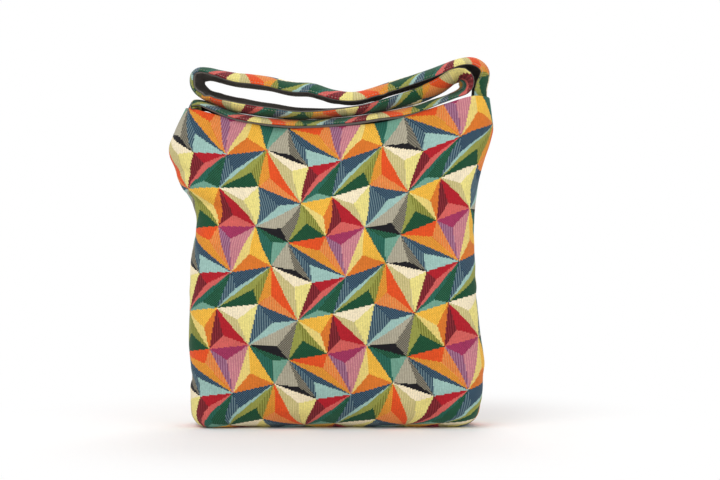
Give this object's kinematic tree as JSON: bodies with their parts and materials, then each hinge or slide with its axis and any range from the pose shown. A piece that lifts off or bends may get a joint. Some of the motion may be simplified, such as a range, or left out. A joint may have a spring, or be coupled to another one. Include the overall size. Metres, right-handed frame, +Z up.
{
  "type": "tapestry shoulder bag",
  "caption": "Soft open-topped shoulder bag of lined tapestry cloth with a multicolour faceted triangle print, standing full, its wide cloth strap folded back and forth over the mouth.",
  "frame": {"origin": "on the surface the bag stands on, under the middle of the bag", "axes": "+Z up, -Y out of the front panel, +X to the right when the front is seen; the side seams and the base seam lie in the XZ plane"},
  "size_m": [0.4013, 0.1302, 0.4577],
  "materials": {
    "tapestry": "woven tapestry cloth with a multicolour print of faceted triangles, matt",
    "twill": "dark grey twill cloth, matt"
  },
  "bodies": {
    "root": {"front_panel": "tapestry", "back_panel": "tapestry", "lining_front": "twill", "lining_back": "twill", "strap_face": "tapestry", "strap_backing": "twill"}
  },
  "joints": []
}
